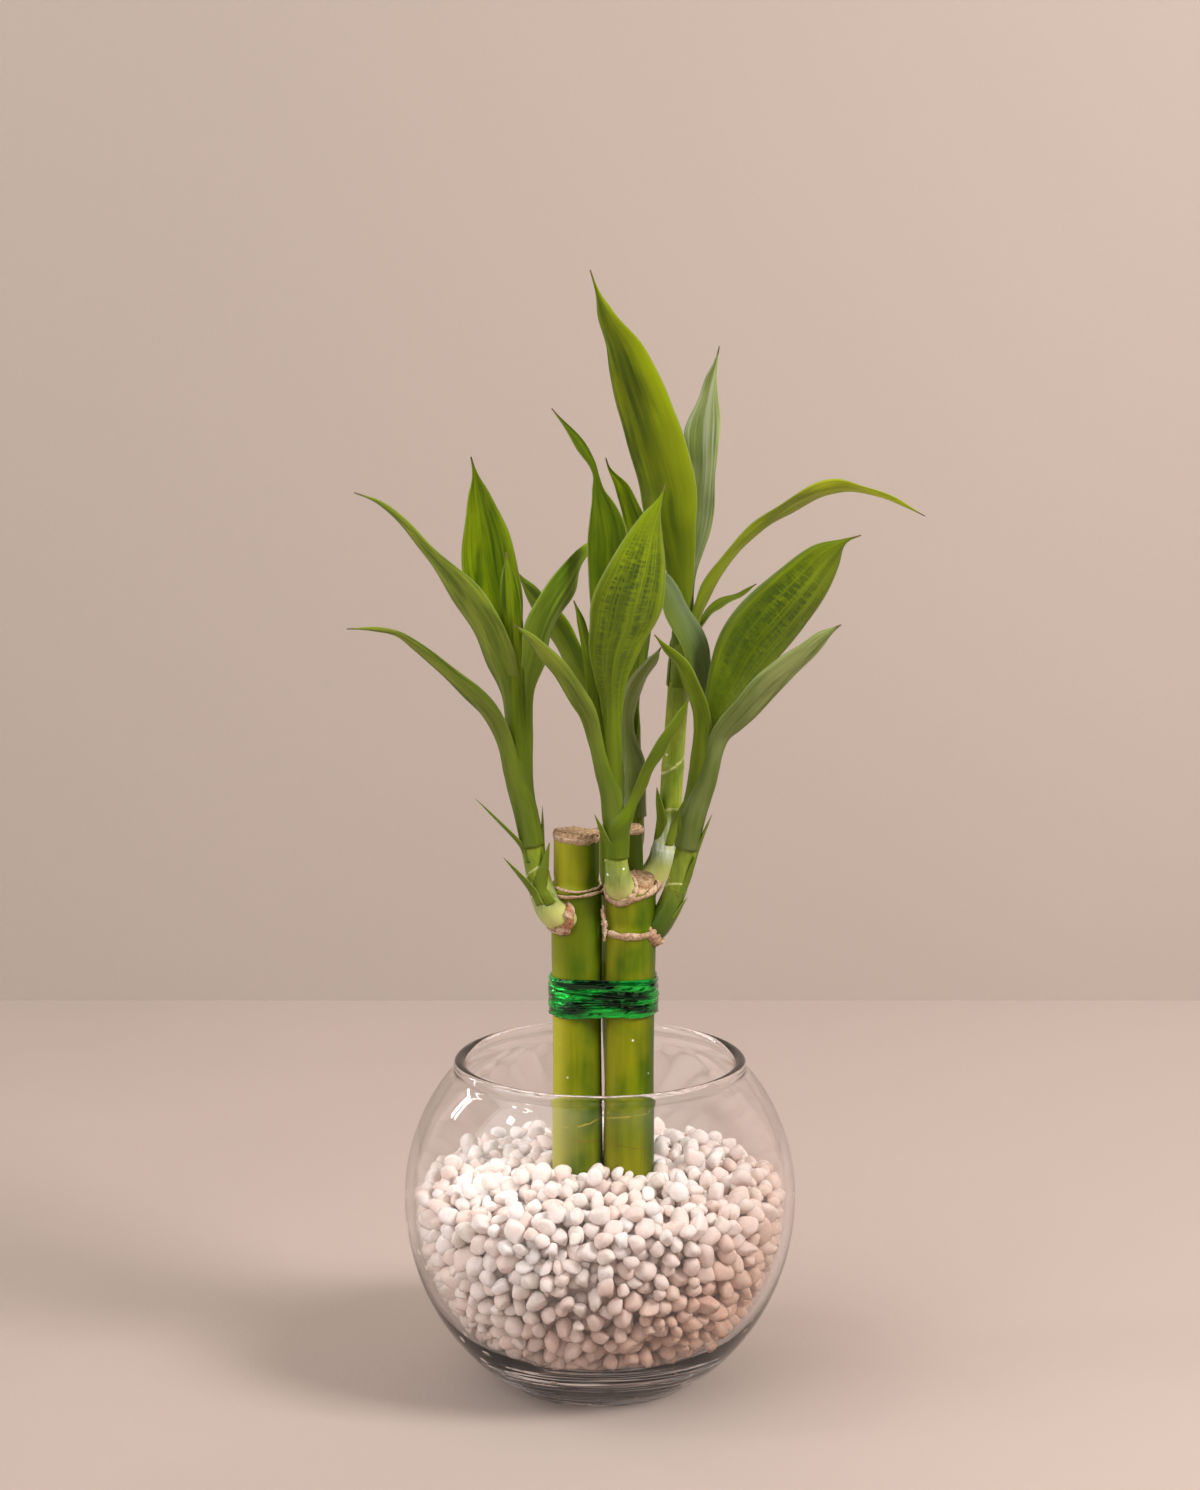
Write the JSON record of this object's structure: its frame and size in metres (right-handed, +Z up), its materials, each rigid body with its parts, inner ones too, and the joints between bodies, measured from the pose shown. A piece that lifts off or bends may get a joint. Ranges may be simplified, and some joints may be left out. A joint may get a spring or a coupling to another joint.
{
  "type": "lucky bamboo in a glass bubble bowl",
  "caption": "Lucky bamboo: tied green canes with arching leafy shoots, standing in white pebbles in a round clear glass bowl.",
  "frame": {"origin": "centre of the bowl's flat foot, on the surface that it stands on", "axes": "+Z up along the canes, +X to the right and -Y towards the viewer as the picture shows the plant"},
  "size_m": [0.1449, 0.102, 0.2896],
  "materials": {
    "glass": "polished",
    "pebbles": "satin",
    "cane": "satin",
    "shoot": "satin",
    "leaf": "satin",
    "foil": "polished"
  },
  "bodies": {
    "root": {"bowl": "glass", "pebbles": "pebbles", "cane_front_left": "cane", "cane_front_right": "cane", "cane_back": "cane", "tie": "foil", "shoot_a": "shoot", "shoot_b": "shoot", "shoot_c": "shoot", "shoot_d": "shoot", "shoot_e": "shoot", "leaf_a_spear": "leaf", "leaf_a_back": "leaf", "leaf_a_right": "leaf", "leaf_a_left": "leaf", "leaf_a_low": "leaf", "leaf_b_back": "leaf", "leaf_b_front": "leaf", "leaf_b_thin": "leaf", "leaf_b_left": "leaf", "leaf_b_low": "leaf", "leaf_c_top": "leaf", "leaf_c_back": "leaf", "leaf_c_right": "leaf", "leaf_c_small": "leaf", "leaf_d_back": "leaf", "leaf_d_right": "leaf", "leaf_d_left": "leaf", "leaf_d_low": "leaf", "leaf_e_top": "leaf", "leaf_e_left": "leaf", "leaf_e_right": "leaf"}
  },
  "joints": []
}
